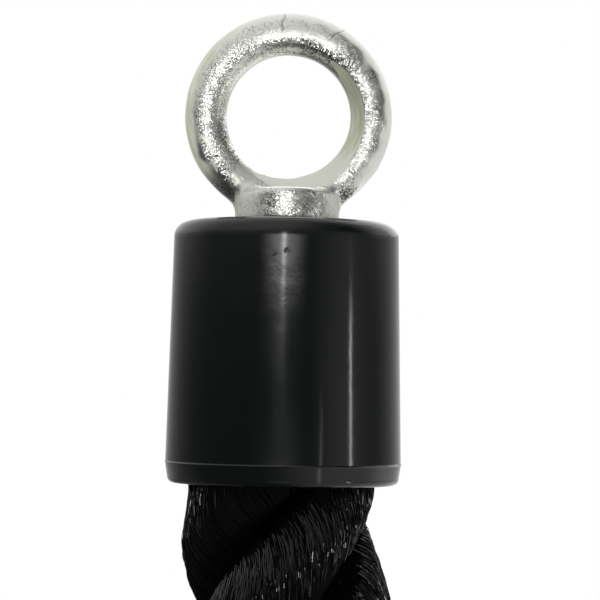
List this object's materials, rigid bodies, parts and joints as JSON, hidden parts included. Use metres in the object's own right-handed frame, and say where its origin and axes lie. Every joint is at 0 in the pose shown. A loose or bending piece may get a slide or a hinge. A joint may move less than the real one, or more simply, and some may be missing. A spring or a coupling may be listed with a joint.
{
  "type": "rope end lifting eye",
  "caption": "Forged ring eye on a collar, screwed into a swaged socket on the end of a thick laid rope and covered by a moulded cup, to hang or pull the rope by",
  "frame": {"origin": "centre of the eye's bore", "axes": "+Z along the rope's axis towards the eye, +Y along the axis of the eye's bore, +X across the ring"},
  "size_m": [0.0568, 0.0568, 0.1735],
  "materials": {
    "zinc_plate": "bright zinc plate on a drop forging",
    "black_moulding": "glossy moulded black plastic",
    "rope_fibre": "black synthetic filament",
    "socket_steel": "plain pressed steel",
    "binding_tape": "black cloth tape"
  },
  "bodies": {
    "root": {"lifting_eye": "zinc_plate", "end_cup": "black_moulding", "socket_sleeve": "socket_steel", "socket_head": "socket_steel", "anchor_nut": "socket_steel", "end_tape": "binding_tape", "strand_1": "rope_fibre", "strand_2": "rope_fibre", "strand_3": "rope_fibre"}
  },
  "joints": []
}
